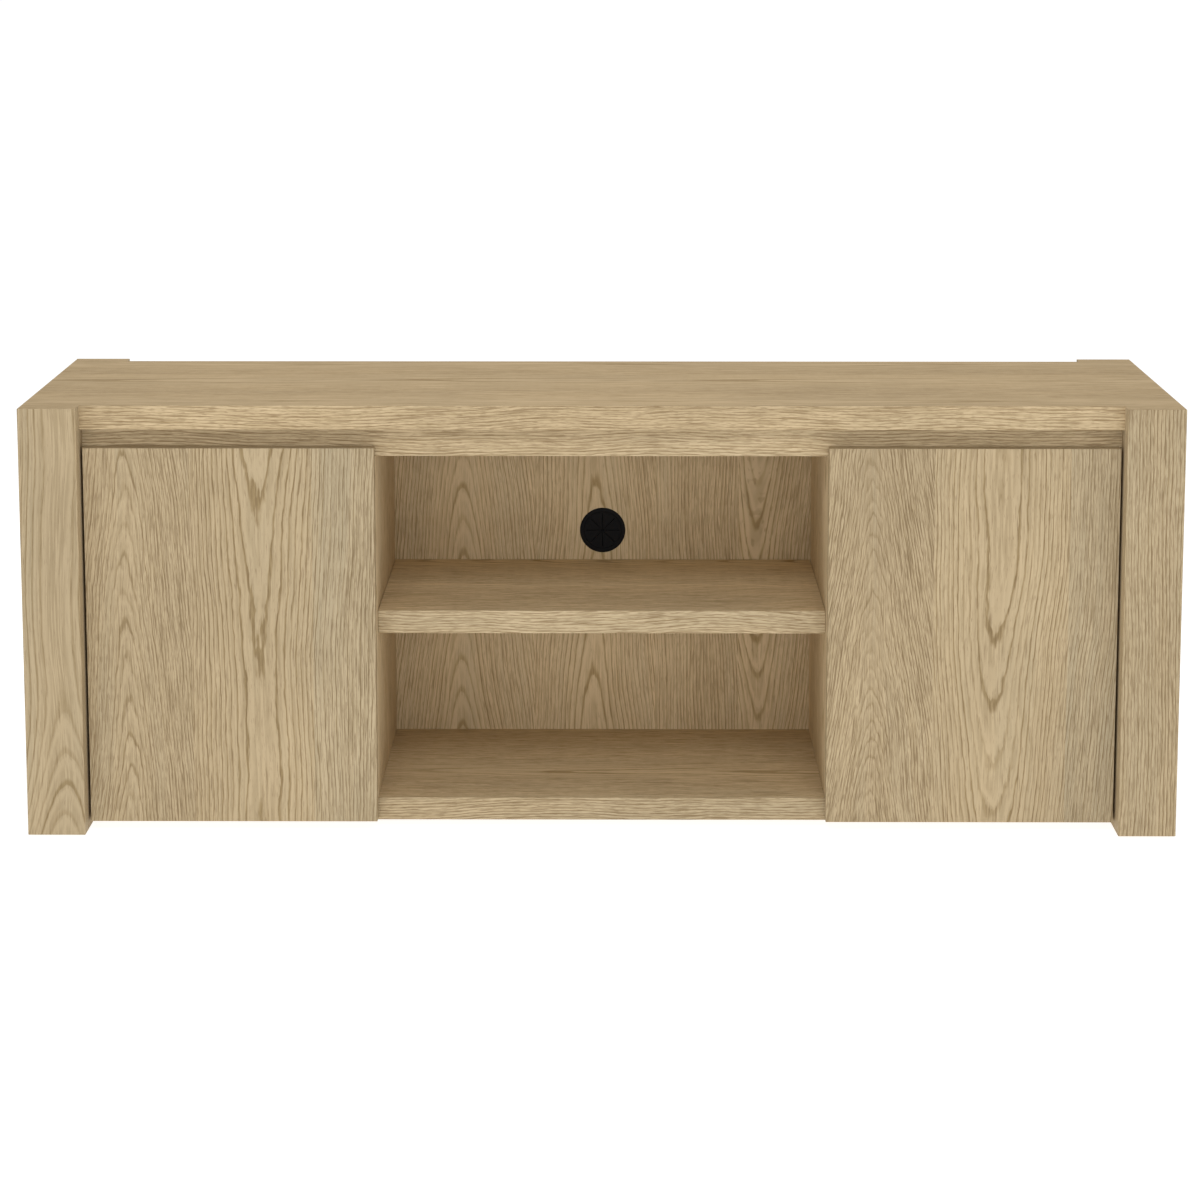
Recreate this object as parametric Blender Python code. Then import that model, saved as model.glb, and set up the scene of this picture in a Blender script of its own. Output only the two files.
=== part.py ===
"""A low media cabinet in oak veneer: two plain doors beside an open bay with one shelf.

Units are metres and +Z is up. The cabinet faces -Y, so left is -X. The origin is on the floor under
its middle. Each piece is one object, and the pieces of a door hang from an empty on its hinge axis.
"""

import math

import bmesh
import bpy

# Overall size
WIDTH = 1.400
DEPTH = 0.420
HEIGHT = 0.530

# Clearance between two pieces that touch on the real cabinet, and the distance at which points merge
FIT = 0.0003
MERGE = 0.000001

# Boards
END_PANEL = 0.070
TOP_PANEL = 0.029
BOTTOM_PANEL = 0.028
BOTTOM_LIFT = 0.010
DIVIDER = 0.028
CENTRE_BAY = 0.550
CENTRE_SHELF = 0.0285
CENTRE_SHELF_TOP = 0.2695
CENTRE_SHELF_SETBACK = 0.018
INNER_SHELF = 0.018
INNER_SHELF_TOP = 0.263
INNER_SHELF_SETBACK = 0.045
RAIL_HEIGHT = 0.0355
RAIL_THICKNESS = 0.020
BACK_PANEL = 0.008
GROOVE_DEPTH = 0.005
ARRIS = 0.0008

# Where the boards stand from front to back, measured from the front of the end panels
DOOR_SETBACK = 0.0245
CARCASS_SETBACK = 0.044
BACK_PANEL_SETBACK = 0.3665
REAR_OVERHANG = 0.022

# Doors
DOOR_THICKNESS = 0.018
DOOR_SIDE_GAP = 0.003
DOOR_BOTTOM = 0.013
DOOR_TOP_DROP = 0.052
AXIS_FROM_EDGE = 0.005
AXIS_FROM_FACE = 0.0055

# Concealed cup hinges
HINGE_HEIGHTS = {"lower": 0.105, "upper": 0.386}
CUP_RADIUS = 0.0175
CUP_DEPTH = 0.012
CUP_WALL = 0.0008
CUP_FROM_EDGE = 0.0225
FLANGE_RADIUS = 0.0195
FLANGE_THICKNESS = 0.001
WING_LENGTH = 0.060
WING_WIDTH = 0.015
NOSE_FROM_EDGE = 0.022
NOSE_FROM_FACE = 0.012
NOSE_RADIUS = 0.003
NOSE_STEPS = 8
ARM_WIDTH = 0.014
ARM_THICKNESS = 0.004
ARM_STANDOFF = 0.008
ARM_BRIDGE = 0.0205
ARM_END = 0.075
PLATE_THICKNESS = 0.0025
PLATE_HEIGHT = 0.048
PLATE_FRONT = 0.047
PLATE_BACK = 0.061
SPINE_WIDTH = 0.012
SPINE_FRONT = 0.036
SPINE_BACK = 0.073

# Bumpers on the back of each door
BUMPER_RADIUS = 0.004
BUMPER_THICKNESS = 0.0009
BUMPER_HEIGHTS = {"lower": 0.075, "upper": 0.430}

# Shelf pegs
PEG_RADIUS = 0.0025
PEG_COLLAR = 0.0035
PEG_COLLAR_LENGTH = 0.001
PEG_REACH = 0.008
PEG_PLACES = {"front": -0.080, "back": 0.115}

# Glides under the end panels
GLIDE_HEIGHT = 0.003
GLIDE_RADIUS = 0.0125
GLIDE_PIN_RADIUS = 0.0015
GLIDE_PIN_LENGTH = 0.014
GLIDE_FROM_END = 0.045

# Cam locks and their bolts, which hold the top and bottom panels between the end panels
CAM_RADIUS = 0.0075
CAM_HEIGHT = 0.0135
CAM_FROM_EDGE = 0.034
CAM_SLOT = 0.004
BOLT_FROM_FACE = 0.008
BOLT_RADIUS = 0.003
BOLT_NECK_RADIUS = 0.0018
BOLT_THREAD_RADIUS = 0.0025
BOLT_THREAD_LENGTH = 0.011
BOLT_REACH = 0.0325
BOLT_HEAD = 0.002
BOLT_NECK = 0.003
BOLT_TAPER = 0.001
SLOT_PAST_CENTRE = 0.002
CAM_PLACES = {"front": -0.110, "back": 0.110}

# Cable grommet in the back panel
GROMMET_HEIGHT = 0.309
GROMMET_RADIUS = 0.030
GROMMET_SLEEVE = 0.0262
GROMMET_BORE = 0.024
GROMMET_FLANGE = 0.0015
GROMMET_MEMBRANE = 0.0012
GROMMET_SLITS = 4
SLIT_LENGTH = 0.044
SLIT_WIDTH = 0.001

# Worked out from the sizes above
INNER_X = WIDTH / 2 - END_PANEL
FRONT_Y = -DEPTH / 2
BACK_Y = DEPTH / 2
DOOR_Y = FRONT_Y + DOOR_SETBACK
DOOR_BACK_Y = DOOR_Y + DOOR_THICKNESS
CARCASS_Y = FRONT_Y + CARCASS_SETBACK
CARCASS_BACK_Y = BACK_Y - REAR_OVERHANG
BACK_PANEL_Y = FRONT_Y + BACK_PANEL_SETBACK
TOP_UNDERSIDE = HEIGHT - TOP_PANEL
FLOOR_TOP = BOTTOM_LIFT + BOTTOM_PANEL
DOOR_TOP = HEIGHT - DOOR_TOP_DROP
BAY_X = CENTRE_BAY / 2
DIVIDER_X = BAY_X + DIVIDER
SIDES = {"left": -1, "right": 1}

# Base colour, roughness and metallic value of each finish
FINISHES = {
    "oak": ((0.45, 0.34, 0.20, 1), 0.55, 0.0),
    "nickel": ((0.62, 0.62, 0.60, 1), 0.30, 1.0),
    "zinc": ((0.55, 0.55, 0.53, 1), 0.45, 1.0),
    "black_rubber": ((0.012, 0.012, 0.013, 1), 0.60, 0.0),
    "clear_bumper": ((0.70, 0.70, 0.68, 1), 0.35, 0.0),
    "glide_plastic": ((0.20, 0.14, 0.09, 1), 0.50, 0.0),
}


def clear_scene():
    """Removes every object of the open scene."""
    for obj in list(bpy.data.objects):
        bpy.data.objects.remove(obj, do_unlink=True)


def finish_material(name, finish):
    """A Principled material for one piece."""
    color, roughness, metallic = FINISHES[finish]
    material = bpy.data.materials.new(name)
    material.use_nodes = True
    shader = material.node_tree.nodes["Principled BSDF"]
    shader.inputs["Base Color"].default_value = color
    shader.inputs["Roughness"].default_value = roughness
    shader.inputs["Metallic"].default_value = metallic
    return material


def new_object(name, bm, location=(0, 0, 0), rotation=(0, 0, 0)):
    """Turns a bmesh into an object."""
    bmesh.ops.recalc_face_normals(bm, faces=bm.faces)
    mesh = bpy.data.meshes.new(name)
    bm.to_mesh(mesh)
    bm.free()
    obj = bpy.data.objects.new(name, mesh)
    bpy.context.collection.objects.link(obj)
    obj.location = location
    obj.rotation_euler = rotation
    return obj


def piece(name, bm, finish, location=(0, 0, 0), rotation=(0, 0, 0), smooth=False):
    """One real piece of the cabinet, with its material."""
    obj = new_object(name, bm, location, rotation)
    obj.data.materials.append(finish_material(name, finish))
    if smooth:
        obj.data.shade_smooth()
        obj.data.set_sharp_from_angle(angle=math.radians(40))
    return obj


def cutter(name, bm, location=(0, 0, 0), rotation=(0, 0, 0)):
    """A shape that only serves a Boolean."""
    obj = new_object(name, bm, location, rotation)
    obj.hide_render = True
    obj.display_type = "WIRE"
    return obj


def boolean(obj, other, operation="DIFFERENCE"):
    """Cuts the other object out of this one, or joins it on."""
    modifier = obj.modifiers.new(other.name, "BOOLEAN")
    modifier.operation = operation
    modifier.solver = "EXACT"
    modifier.object = other


def box_mesh(low, high):
    """A box between two corners."""
    bm = bmesh.new()
    bmesh.ops.create_cube(bm, size=1)
    for vertex in bm.verts:
        for i in range(3):
            vertex.co[i] = high[i] if vertex.co[i] > 0 else low[i]
    return bm


def turned_mesh(profile, segments):
    """A solid turned about local Z. The profile runs from axis to axis as (radius, height) points."""
    bm = bmesh.new()
    points = [bm.verts.new((radius, 0, height)) for radius, height in profile]
    edges = [bm.edges.new(pair) for pair in zip(points, points[1:])]
    bmesh.ops.spin(
        bm,
        geom=points + edges,
        cent=(0, 0, 0),
        axis=(0, 0, 1),
        angle=math.tau,
        steps=segments,
        use_merge=True,
    )
    bmesh.ops.remove_doubles(bm, verts=bm.verts, dist=MERGE)
    bmesh.ops.dissolve_degenerate(bm, edges=bm.edges, dist=MERGE)
    return bm


def cylinder_mesh(radius, bottom, top, segments=16):
    """A cylinder about local Z."""
    return turned_mesh([(0, bottom), (radius, bottom), (radius, top), (0, top)], segments)


def prism_mesh(outline, bottom, top):
    """A flat outline in XY, given a thickness along Z."""
    bm = bmesh.new()
    face = bm.faces.new([bm.verts.new((x, y, bottom)) for x, y in outline])
    extruded = bmesh.ops.extrude_face_region(bm, geom=[face])
    for vertex in extruded["geom"]:
        if isinstance(vertex, bmesh.types.BMVert):
            vertex.co.z = top
    return bm


# Rotations that turn local +Z to a world direction
TO_PLUS_Y = (math.radians(-90), 0, 0)
TO_MINUS_Y = (math.radians(90), 0, 0)
TO_PLUS_X = (0, math.radians(90), 0)
TO_MINUS_X = (0, math.radians(-90), 0)


def outward(side):
    """The rotation that turns local +Z towards the nearer end of the cabinet."""
    return TO_MINUS_X if side < 0 else TO_PLUS_X


def board(name, low, high):
    """A veneered board with lightly broken edges, placed by its centre."""
    centre = [(a + b) / 2 for a, b in zip(low, high)]
    half = [(b - a) / 2 for a, b in zip(low, high)]
    obj = piece(name, box_mesh([-h for h in half], half), "oak", centre)
    bevel = obj.modifiers.new("arris", "BEVEL")
    bevel.width = ARRIS
    bevel.segments = 1
    bevel.limit_method = "ANGLE"
    return obj


def between(side, near, far):
    """The lower and higher X of a stretch measured outward from the middle on one side."""
    return (-far, -near) if side < 0 else (near, far)


def make_end_panels():
    """The two thick end panels, which stand on the floor through their glides."""
    panels = {}
    for label, side in SIDES.items():
        low_x, high_x = between(side, INNER_X, WIDTH / 2)
        panels[label] = board(
            f"{label}_end_panel", (low_x, FRONT_Y, GLIDE_HEIGHT), (high_x, BACK_Y, HEIGHT)
        )
    return panels


def make_carcass():
    """The boards between the end panels. Returns those that get holes or grooves."""
    reach = INNER_X - FIT
    boards = {
        "top": board("top_panel", (-reach, DOOR_Y, TOP_UNDERSIDE), (reach, CARCASS_BACK_Y, HEIGHT)),
        "bottom": board(
            "bottom_panel", (-reach, CARCASS_Y, BOTTOM_LIFT), (reach, CARCASS_BACK_Y, FLOOR_TOP)
        ),
    }
    rail_bottom = TOP_UNDERSIDE - RAIL_HEIGHT
    rail_back = CARCASS_Y + RAIL_THICKNESS
    board("front_rail", (-reach, CARCASS_Y, rail_bottom), (reach, rail_back, TOP_UNDERSIDE - FIT))
    board(
        "centre_shelf",
        (-BAY_X + FIT, CARCASS_Y + CENTRE_SHELF_SETBACK, CENTRE_SHELF_TOP - CENTRE_SHELF),
        (BAY_X - FIT, BACK_PANEL_Y - FIT, CENTRE_SHELF_TOP),
    )
    for label, side in SIDES.items():
        low_x, high_x = between(side, BAY_X, DIVIDER_X)
        divider = board(
            f"{label}_divider",
            (low_x, CARCASS_Y, FLOOR_TOP + FIT),
            (high_x, BACK_PANEL_Y - FIT, TOP_UNDERSIDE - FIT),
        )
        notch = cutter(
            f"{label}_rail_notch",
            box_mesh((-DIVIDER, -RAIL_THICKNESS, -FIT), (DIVIDER, RAIL_THICKNESS + FIT, RAIL_HEIGHT)),
            ((low_x + high_x) / 2, CARCASS_Y, rail_bottom),
        )
        boolean(divider, notch)
        boards[f"{label}_divider"] = divider
        low_x, high_x = between(side, DIVIDER_X + FIT, INNER_X - FIT)
        board(
            f"{label}_inner_shelf",
            (low_x, CARCASS_Y + INNER_SHELF_SETBACK, INNER_SHELF_TOP - INNER_SHELF),
            (high_x, BACK_PANEL_Y - FIT, INNER_SHELF_TOP),
        )
    return boards


def make_back_panel(end_panels, boards):
    """The thin back panel and the groove that holds it on all four sides."""
    half_width = INNER_X + GROOVE_DEPTH
    low = (-half_width, BACK_PANEL_Y, FLOOR_TOP - GROOVE_DEPTH)
    high = (half_width, BACK_PANEL_Y + BACK_PANEL, TOP_UNDERSIDE + GROOVE_DEPTH)
    panel = piece("back_panel", box_mesh(low, high), "oak")
    groove = cutter(
        "back_panel_groove", box_mesh([value - FIT for value in low], [value + FIT for value in high])
    )
    for obj in (*end_panels.values(), boards["top"], boards["bottom"]):
        boolean(obj, groove)
    return panel


def make_grommet(back_panel):
    """The rubber cable grommet: a flange and sleeve with a membrane slit into flaps."""
    centre = (0, BACK_PANEL_Y, GROMMET_HEIGHT)
    hole = cutter(
        "grommet_hole",
        cylinder_mesh(GROMMET_SLEEVE + FIT, -2 * BACK_PANEL, BACK_PANEL, 32),
        centre,
        TO_MINUS_Y,
    )
    boolean(back_panel, hole)
    flange_top = FIT + GROMMET_FLANGE
    profile = [
        (0, FIT),
        (GROMMET_BORE, FIT),
        (GROMMET_BORE, -BACK_PANEL - FIT),
        (GROMMET_SLEEVE, -BACK_PANEL - FIT),
        (GROMMET_SLEEVE, FIT),
        (GROMMET_RADIUS, FIT),
        (GROMMET_RADIUS, flange_top / 2),
        (GROMMET_RADIUS - ARRIS, flange_top),
        (GROMMET_BORE + ARRIS, flange_top),
        (GROMMET_BORE, FIT + GROMMET_MEMBRANE),
        (0, FIT + GROMMET_MEMBRANE),
    ]
    grommet = piece(
        "cable_grommet", turned_mesh(profile, 32), "black_rubber", centre, TO_MINUS_Y, smooth=True
    )
    for number in range(GROMMET_SLITS):
        half = (SLIT_LENGTH / 2, SLIT_WIDTH / 2)
        slit = cutter(
            f"grommet_slit_{number + 1}",
            box_mesh((-half[0], -half[1], -BACK_PANEL), (half[0], half[1], BACK_PANEL)),
            centre,
            (TO_MINUS_Y[0], math.pi * number / GROMMET_SLITS, 0),
        )
        boolean(grommet, slit)


def make_glides(end_panels):
    """A round glide under each end panel's front and back, with a pin up into the wood."""
    profile = [
        (0, 0),
        (GLIDE_RADIUS - GLIDE_HEIGHT / 3, 0),
        (GLIDE_RADIUS, GLIDE_HEIGHT / 3),
        (GLIDE_RADIUS, GLIDE_HEIGHT - FIT),
        (GLIDE_PIN_RADIUS, GLIDE_HEIGHT - FIT),
        (GLIDE_PIN_RADIUS, GLIDE_PIN_LENGTH),
        (0, GLIDE_PIN_LENGTH),
    ]
    for label, side in SIDES.items():
        for place, direction in {"front": -1, "back": 1}.items():
            spot = (side * (WIDTH - END_PANEL) / 2, direction * (DEPTH / 2 - GLIDE_FROM_END), 0)
            piece(
                f"{label}_{place}_glide", turned_mesh(profile, 20), "glide_plastic", spot, smooth=True
            )
            hole = cutter(
                f"{label}_{place}_glide_hole",
                cylinder_mesh(GLIDE_PIN_RADIUS + FIT, -GLIDE_HEIGHT, GLIDE_PIN_LENGTH + FIT, 12),
                spot,
            )
            boolean(end_panels[label], hole)


def make_pegs(end_panels, boards):
    """Four pegs under each inner shelf: two in the end panel and two in the divider."""
    height = INNER_SHELF_TOP - INNER_SHELF - PEG_COLLAR - FIT
    profile = [
        (0, -PEG_REACH),
        (PEG_RADIUS, -PEG_REACH),
        (PEG_RADIUS, -FIT - PEG_COLLAR_LENGTH),
        (PEG_COLLAR, -FIT - PEG_COLLAR_LENGTH),
        (PEG_COLLAR, -FIT),
        (PEG_RADIUS, -FIT),
        (PEG_RADIUS, PEG_REACH),
        (0, PEG_REACH),
    ]
    for label, side in SIDES.items():
        rows = {
            "outer": (end_panels[label], side * INNER_X, outward(side)),
            "inner": (boards[f"{label}_divider"], side * DIVIDER_X, outward(-side)),
        }
        for row, (wood, x, rotation) in rows.items():
            for place, y in PEG_PLACES.items():
                name = f"{label}_{row}_{place}_peg"
                piece(name, turned_mesh(profile, 12), "zinc", (x, y, height), rotation, smooth=True)
                hole = cutter(
                    f"{name}_hole",
                    cylinder_mesh(PEG_RADIUS + FIT, -PEG_REACH, PEG_REACH + FIT, 12),
                    (x, y, height),
                    rotation,
                )
                boolean(wood, hole)


def make_cam_locks(end_panels, boards):
    """A cam and a bolt at each corner joint, two at each end of the top and the bottom panel."""
    levels = {
        "top": (TOP_UNDERSIDE, TOP_UNDERSIDE + BOLT_FROM_FACE),
        "bottom": (BOTTOM_LIFT, BOTTOM_LIFT + BOLT_FROM_FACE),
    }
    neck_start = BOLT_HEAD + BOLT_TAPER - BOLT_REACH
    bolt_profile = [
        (0, -BOLT_REACH),
        (BOLT_RADIUS, -BOLT_REACH),
        (BOLT_RADIUS, neck_start - BOLT_TAPER),
        (BOLT_NECK_RADIUS, neck_start),
        (BOLT_NECK_RADIUS, neck_start + BOLT_NECK),
        (BOLT_RADIUS, neck_start + BOLT_NECK + BOLT_TAPER),
        (BOLT_RADIUS, -BOLT_TAPER),
        (BOLT_THREAD_RADIUS, 0),
        (BOLT_THREAD_RADIUS, BOLT_THREAD_LENGTH),
        (0, BOLT_THREAD_LENGTH),
    ]
    for level, (face, bolt_height) in levels.items():
        for label, side in SIDES.items():
            for place, y in CAM_PLACES.items():
                name = f"{label}_{level}_{place}"
                cam_spot = (side * (INNER_X - CAM_FROM_EDGE), y, face)
                bolt_spot = (side * INNER_X, y, bolt_height)
                pocket = cutter(
                    f"{name}_cam_pocket",
                    cylinder_mesh(CAM_RADIUS, -CAM_HEIGHT, CAM_HEIGHT + FIT, 20),
                    cam_spot,
                )
                boolean(boards[level], pocket)
                bore = cutter(
                    f"{name}_bolt_bore",
                    cylinder_mesh(BOLT_RADIUS + FIT, -CAM_FROM_EDGE, BOLT_REACH, 12),
                    bolt_spot,
                    outward(side),
                )
                boolean(boards[level], bore)
                thread = cutter(
                    f"{name}_thread_hole",
                    cylinder_mesh(BOLT_THREAD_RADIUS + FIT, -BOLT_REACH, BOLT_THREAD_LENGTH + FIT, 12),
                    bolt_spot,
                    outward(side),
                )
                boolean(end_panels[label], thread)
                cam = piece(
                    f"{name}_cam",
                    cylinder_mesh(CAM_RADIUS - FIT, 0, CAM_HEIGHT, 20),
                    "zinc",
                    cam_spot,
                    smooth=True,
                )
                slot_x = between(side, -SLOT_PAST_CENTRE, 2 * CAM_RADIUS)
                slot = cutter(
                    f"{name}_cam_slot",
                    box_mesh(
                        (slot_x[0], -CAM_SLOT, BOLT_FROM_FACE - CAM_SLOT),
                        (slot_x[1], CAM_SLOT, BOLT_FROM_FACE + CAM_SLOT),
                    ),
                    cam_spot,
                )
                boolean(cam, slot)
                piece(
                    f"{name}_cam_bolt",
                    turned_mesh(bolt_profile, 12),
                    "zinc",
                    bolt_spot,
                    outward(side),
                    smooth=True,
                )


def arm_outline(side):
    """The hinge arm seen from above: a bar beside the end panel, a bridge and a round nose.

    X is measured from the end panel's inner face and Y from the door's front face.
    """
    nose_x = DOOR_SIDE_GAP + NOSE_FROM_EDGE
    inner = ARM_STANDOFF + ARM_THICKNESS
    points = [
        (ARM_STANDOFF, ARM_END),
        (ARM_STANDOFF, ARM_BRIDGE + ARM_THICKNESS / 2),
        (ARM_STANDOFF + ARM_THICKNESS / 2, ARM_BRIDGE),
        (nose_x - NOSE_RADIUS, ARM_BRIDGE),
    ]
    for step in range(NOSE_STEPS + 1):
        angle = math.pi * (1 + step / NOSE_STEPS)
        round_x = nose_x + NOSE_RADIUS * math.cos(angle)
        points.append((round_x, NOSE_FROM_FACE + NOSE_RADIUS * math.sin(angle)))
    points += [
        (nose_x + NOSE_RADIUS, ARM_BRIDGE + ARM_THICKNESS),
        (inner, ARM_BRIDGE + ARM_THICKNESS),
        (inner, ARM_END),
    ]
    return [(-side * x, y) for x, y in points]


def make_hinge(label, side, level, door, door_axis):
    """One concealed hinge: the cup in the door, and the arm and mounting plate on the end panel."""
    height = HINGE_HEIGHTS[level]
    name = f"{label}_{level}_hinge"
    cup_x = side * (INNER_X - DOOR_SIDE_GAP - CUP_FROM_EDGE)
    cup_spot = (cup_x, DOOR_BACK_Y, height)
    pocket = cutter(
        f"{name}_pocket", cylinder_mesh(CUP_RADIUS, -CUP_DEPTH, CUP_DEPTH, 32), cup_spot, TO_PLUS_Y
    )
    boolean(door, pocket)
    top = FIT + FLANGE_THICKNESS
    profile = [
        (0, FIT - CUP_DEPTH),
        (CUP_RADIUS - FIT, FIT - CUP_DEPTH),
        (CUP_RADIUS - FIT, FIT),
        (FLANGE_RADIUS, FIT),
        (FLANGE_RADIUS, top),
        (0, top),
    ]
    cup = piece(f"{name}_cup", turned_mesh(profile, 32), "nickel", cup_spot, TO_PLUS_Y, smooth=True)
    wing = cutter(
        f"{name}_wing",
        box_mesh((-WING_WIDTH / 2, -WING_LENGTH / 2, FIT), (WING_WIDTH / 2, WING_LENGTH / 2, top)),
        cup_spot,
        TO_PLUS_Y,
    )
    boolean(cup, wing, "UNION")
    bowl = cutter(
        f"{name}_bowl",
        cylinder_mesh(CUP_RADIUS - FIT - CUP_WALL, FIT + CUP_WALL - CUP_DEPTH, CUP_DEPTH, 32),
        cup_spot,
        TO_PLUS_Y,
    )
    boolean(cup, bowl)
    piece(
        f"{name}_arm",
        prism_mesh(arm_outline(side), -ARM_WIDTH / 2, ARM_WIDTH / 2),
        "nickel",
        (side * INNER_X, DOOR_Y, height),
    )
    plate_x = between(-side, FIT, FIT + PLATE_THICKNESS)
    spine_x = between(-side, FIT, ARM_STANDOFF - FIT)
    plate_spot = (side * INNER_X, DOOR_Y, height)
    plate = piece(
        f"{name}_plate",
        box_mesh(
            (plate_x[0], PLATE_FRONT, -PLATE_HEIGHT / 2),
            (plate_x[1], PLATE_BACK, PLATE_HEIGHT / 2),
        ),
        "nickel",
        plate_spot,
    )
    spine = cutter(
        f"{name}_spine",
        box_mesh((spine_x[0], SPINE_FRONT, -SPINE_WIDTH / 2), (spine_x[1], SPINE_BACK, SPINE_WIDTH / 2)),
        plate_spot,
    )
    boolean(plate, spine, "UNION")
    for obj in (cup, pocket, wing, bowl):
        hang(obj, door_axis)


def hang(obj, door_axis):
    """Parents a piece to a door's axis and keeps its place."""
    obj.location = [a - b for a, b in zip(obj.location, door_axis.location)]
    obj.parent = door_axis


def make_doors():
    """The two doors with their hinges and bumpers, each hanging from an empty on its axis."""
    for label, side in SIDES.items():
        edge = INNER_X - DOOR_SIDE_GAP
        low_x, high_x = between(side, BAY_X, edge)
        door = board(f"{label}_door", (low_x, DOOR_Y, DOOR_BOTTOM), (high_x, DOOR_BACK_Y, DOOR_TOP))
        door_axis = bpy.data.objects.new(f"{label}_door_axis", None)
        door_axis.location = (side * (edge - AXIS_FROM_EDGE), DOOR_Y + AXIS_FROM_FACE, DOOR_BOTTOM)
        bpy.context.collection.objects.link(door_axis)
        for level in HINGE_HEIGHTS:
            make_hinge(label, side, level, door, door_axis)
        for level, height in BUMPER_HEIGHTS.items():
            spot = (side * (BAY_X + DIVIDER / 2), DOOR_BACK_Y, height)
            bumper = piece(
                f"{label}_{level}_bumper",
                cylinder_mesh(BUMPER_RADIUS, FIT, FIT + BUMPER_THICKNESS, 16),
                "clear_bumper",
                spot,
                TO_PLUS_Y,
                smooth=True,
            )
            hang(bumper, door_axis)
        hang(door, door_axis)


def main():
    """Builds the whole cabinet."""
    clear_scene()
    end_panels = make_end_panels()
    boards = make_carcass()
    back_panel = make_back_panel(end_panels, boards)
    make_grommet(back_panel)
    make_glides(end_panels)
    make_pegs(end_panels, boards)
    make_cam_locks(end_panels, boards)
    make_doors()


main()
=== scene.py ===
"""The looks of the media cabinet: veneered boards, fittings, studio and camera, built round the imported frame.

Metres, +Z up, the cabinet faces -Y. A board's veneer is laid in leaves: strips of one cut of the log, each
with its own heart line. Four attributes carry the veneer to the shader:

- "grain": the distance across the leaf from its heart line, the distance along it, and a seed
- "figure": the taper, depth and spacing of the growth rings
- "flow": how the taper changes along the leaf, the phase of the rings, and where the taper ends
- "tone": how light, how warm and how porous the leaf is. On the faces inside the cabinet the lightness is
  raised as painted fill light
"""

import math
import random

import bmesh
import bpy
from mathutils import Matrix, Vector


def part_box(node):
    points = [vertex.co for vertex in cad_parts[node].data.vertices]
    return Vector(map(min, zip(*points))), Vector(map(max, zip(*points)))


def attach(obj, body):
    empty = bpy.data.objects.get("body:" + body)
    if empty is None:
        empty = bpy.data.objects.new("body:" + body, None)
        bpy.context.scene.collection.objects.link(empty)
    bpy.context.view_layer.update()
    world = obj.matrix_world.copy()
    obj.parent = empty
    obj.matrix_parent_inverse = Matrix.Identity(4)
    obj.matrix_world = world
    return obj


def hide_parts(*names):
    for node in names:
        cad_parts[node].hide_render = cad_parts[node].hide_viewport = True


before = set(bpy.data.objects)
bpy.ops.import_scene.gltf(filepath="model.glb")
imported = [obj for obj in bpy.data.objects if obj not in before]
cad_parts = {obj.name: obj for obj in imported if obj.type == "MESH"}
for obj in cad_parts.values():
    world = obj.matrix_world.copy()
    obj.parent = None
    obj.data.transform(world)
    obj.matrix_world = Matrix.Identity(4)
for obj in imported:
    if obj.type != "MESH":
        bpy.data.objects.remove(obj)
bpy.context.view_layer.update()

AXES = {"X": 0, "Y": 1, "Z": 2}
SIDES = (("left", -1), ("right", 1))

# The rounding of a board's edges, and the space left round what goes into a board
ARRIS = 0.0006
CLEAR = 0.0003
SLACK = Vector((CLEAR, CLEAR, CLEAR))

# Sizes that fittings share with their holes
PEG_RADIUS = 0.0025
BOLT_RADIUS = 0.003
GLIDE_PIN_RADIUS = 0.0015
CUP_RADIUS = 0.0175
CUP_DEPTH = 0.012


def middle(box):
    """The middle of a box that is given by its low and high corners."""
    return (box[0] + box[1]) / 2


# ---------------------------------------------------------------- camera, floor and light

CAMERA_PLACE = (0.016, -3.834, 1.115)
CAMERA_PITCH = 8.25
CAMERA_YAW = 0.28
CAMERA_LENS = 92.1
CAMERA_SHIFT = -0.20
FLOOR_SIZE = 160
FLOOR_GLOW = 0.85
FLOOR_GREY = 0.50
WORLD_STRENGTH = 0.35
# Each light's place, the point that it faces, its width and height, and its power
SOFTBOXES = {
    "front_softbox": ((0, -4.6, 0.85), (0, 0, 0.85), (6.0, 1.5), 62),
    "key_softbox": ((0, -2.6, 2.4), (0, -0.1, 0.3), (2.0, 1.0), 30),
    "top_softbox": ((0, 0.3, 3.0), (0, 0.3, 0), (3.0, 2.0), 46),
}


def make_camera():
    """A long lens in front of the cabinet and above it."""
    data = bpy.data.cameras.new("camera")
    data.lens = CAMERA_LENS
    data.sensor_width = 36
    data.shift_y = CAMERA_SHIFT
    data.clip_end = 400
    camera = bpy.data.objects.new("camera", data)
    camera.location = CAMERA_PLACE
    camera.rotation_euler = (math.radians(90 - CAMERA_PITCH), 0, math.radians(CAMERA_YAW))
    bpy.context.scene.collection.objects.link(camera)
    bpy.context.scene.camera = camera


def make_floor():
    """A plain pale floor, far wider than any view."""
    half = FLOOR_SIZE / 2
    corners = [(-half, -half, 0), (half, -half, 0), (half, half, 0), (-half, half, 0)]
    mesh = bpy.data.meshes.new("floor")
    mesh.from_pydata(corners, [], [(0, 1, 2, 3)])
    floor = bpy.data.objects.new("floor", mesh)
    bpy.context.scene.collection.objects.link(floor)
    material = bpy.data.materials.new("floor_paint")
    material.use_nodes = True
    shader = material.node_tree.nodes["Principled BSDF"]
    shader.inputs["Base Color"].default_value = (FLOOR_GREY, FLOOR_GREY, FLOOR_GREY, 1)
    shader.inputs["Roughness"].default_value = 0.9
    shader.inputs["Specular IOR Level"].default_value = 0.1
    shader.inputs["Emission Color"].default_value = (1, 1, 1, 1)
    shader.inputs["Emission Strength"].default_value = FLOOR_GLOW
    mesh.materials.append(material)


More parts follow.
